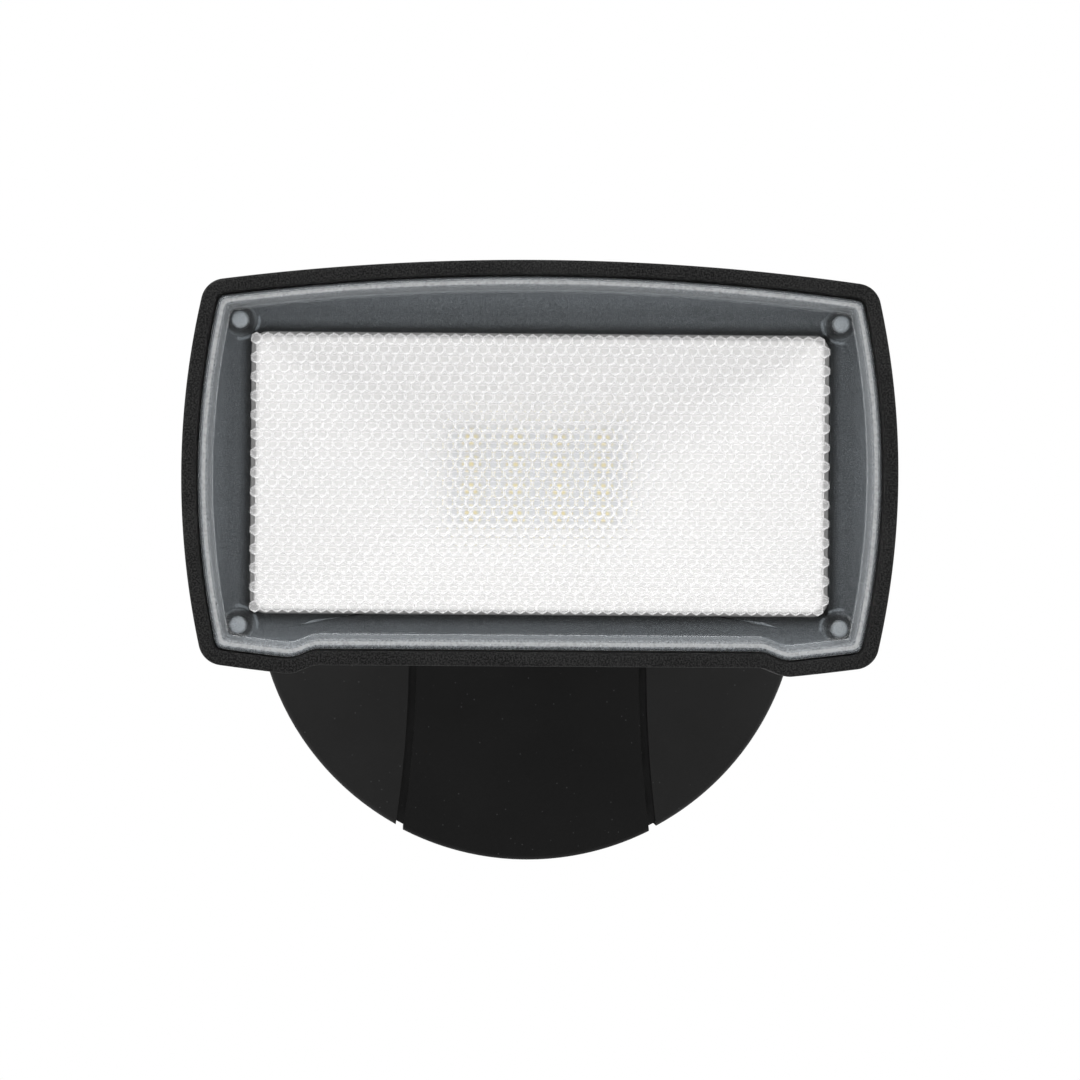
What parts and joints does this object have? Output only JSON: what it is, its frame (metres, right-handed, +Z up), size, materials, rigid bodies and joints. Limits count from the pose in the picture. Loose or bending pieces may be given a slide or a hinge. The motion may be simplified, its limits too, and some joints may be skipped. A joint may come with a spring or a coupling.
{
  "type": "wall floodlight",
  "caption": "Black wall floodlight: a wide rectangular LED head with a dimpled clear lens, aimed by a pan and tilt knuckle on a round canopy base.",
  "frame": {"origin": "centre of the round base's back face, on the wall plane", "axes": "+X to the right and +Z up as seen from the front, and the light faces -Y, so +Y points into the wall"},
  "size_m": [0.16, 0.15, 0.1396],
  "materials": {
    "head_coat": "matte",
    "knuckle_coat": "matte",
    "base_plastic": "satin",
    "spine_plastic": "satin",
    "lens_clear": "gloss",
    "seal_rubber": "matte",
    "reflector_white": "satin",
    "board_white": "satin",
    "led_phosphor": "satin",
    "thermal_grey": "matte",
    "zinc_steel": "satin",
    "strap_steel": "satin",
    "ground_green": "satin",
    "washer_brass": "satin",
    "driver_plastic": "matte",
    "circuit_green": "satin",
    "terminal_cream": "satin"
  },
  "bodies": {
    "base": {"base_shell": "base_plastic", "spine_cover": "spine_plastic", "neck_arm": "knuckle_coat", "neck_screws": "zinc_steel", "base_grommet": "seal_rubber", "base_gasket": "seal_rubber", "mounting_strap": "strap_steel", "canopy_screws": "zinc_steel", "screw_plugs": "seal_rubber", "ground_screw": "ground_green", "driver_case": "driver_plastic", "driver_lid": "driver_plastic", "driver_board": "circuit_green", "driver_screws": "zinc_steel", "terminal_block": "terminal_cream", "pan_bolt": "zinc_steel", "pan_nut": "zinc_steel"},
    "yoke": {"knuckle_yoke": "knuckle_coat", "pan_washers": "washer_brass", "tilt_washers": "washer_brass"},
    "head": {"head_housing": "head_coat", "lens": "lens_clear", "lens_gasket": "seal_rubber", "lens_screws": "zinc_steel", "reflector": "reflector_white", "led_board": "board_white", "led_chips": "led_phosphor", "thermal_pad": "thermal_grey", "board_screws": "zinc_steel", "tilt_bolt": "zinc_steel", "tilt_nut": "zinc_steel", "head_grommet": "seal_rubber", "breather_plug": "seal_rubber"}
  },
  "joints": [
    {"name": "head_pan", "type": "hinge", "parent": "base", "child": "yoke", "pos_m": [0, -0.076, 0.025], "axis": [0, 0, 1], "range_deg": [-35, 35]},
    {"name": "head_tilt", "type": "hinge", "parent": "yoke", "child": "head", "pos_m": [0, -0.094, 0.025], "axis": [1, 0, 0], "range_deg": [-25, 50]}
  ]
}
